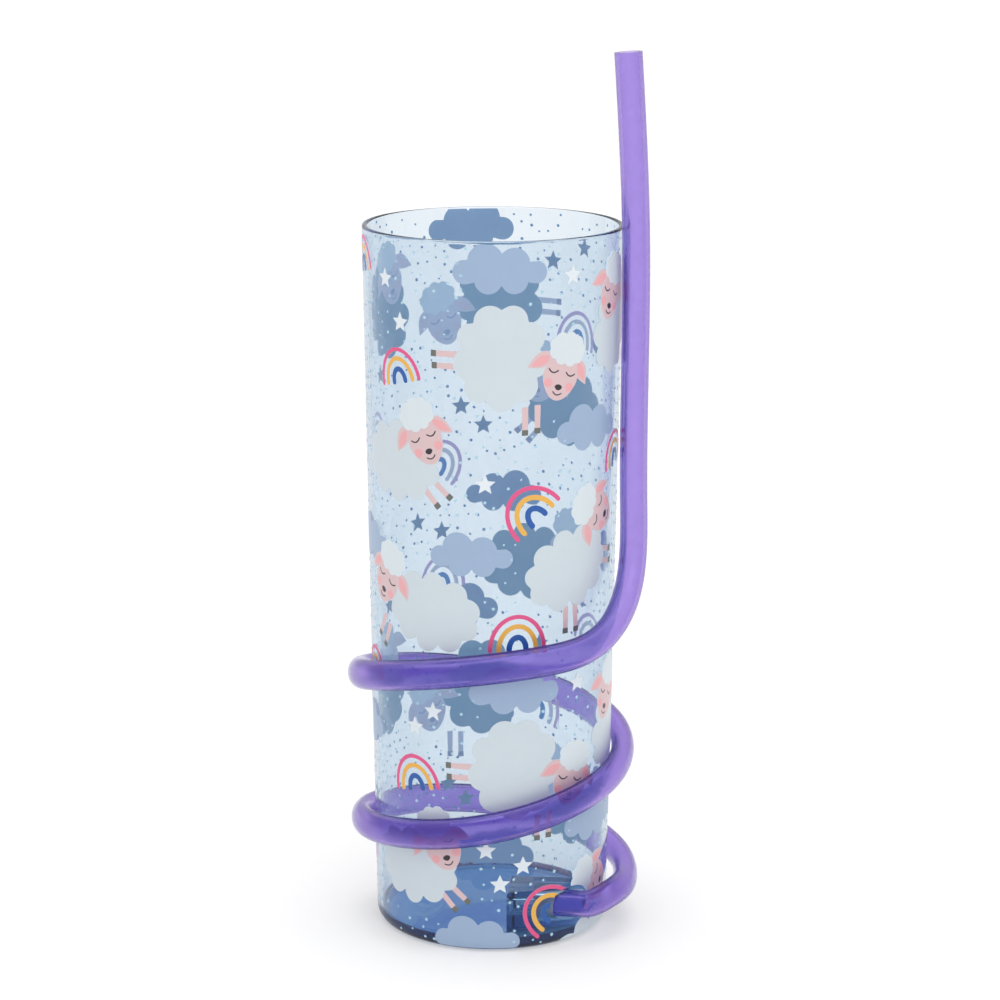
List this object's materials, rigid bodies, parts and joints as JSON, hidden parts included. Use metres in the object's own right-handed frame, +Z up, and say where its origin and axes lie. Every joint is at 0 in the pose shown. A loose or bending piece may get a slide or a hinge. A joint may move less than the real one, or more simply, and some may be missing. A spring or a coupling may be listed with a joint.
{
  "type": "tumbler with wound straw",
  "caption": "Open tapered clear tumbler in a printed film, with a translucent tube straw bonded in a port near the floor, wound up round the wall and standing above the rim.",
  "frame": {"origin": "centre of the tumbler's flat underside, on the tumbler's own axis", "axes": "+Z up along the tumbler's axis, -Y towards the side that the straw's port is nearest, +X towards the straw's upright run"},
  "size_m": [0.0765, 0.075, 0.2264],
  "materials": {
    "tumbler": "clear, lightly blue-tinted, polished hard plastic",
    "print_film": "clear glossy film with an opaque printed pattern",
    "straw": "translucent purple soft plastic tube, glossy",
    "port_seal": "clear cured sealant"
  },
  "bodies": {
    "root": {"tumbler": "tumbler", "print_film": "print_film", "straw": "straw", "port_seal": "port_seal"}
  },
  "joints": []
}
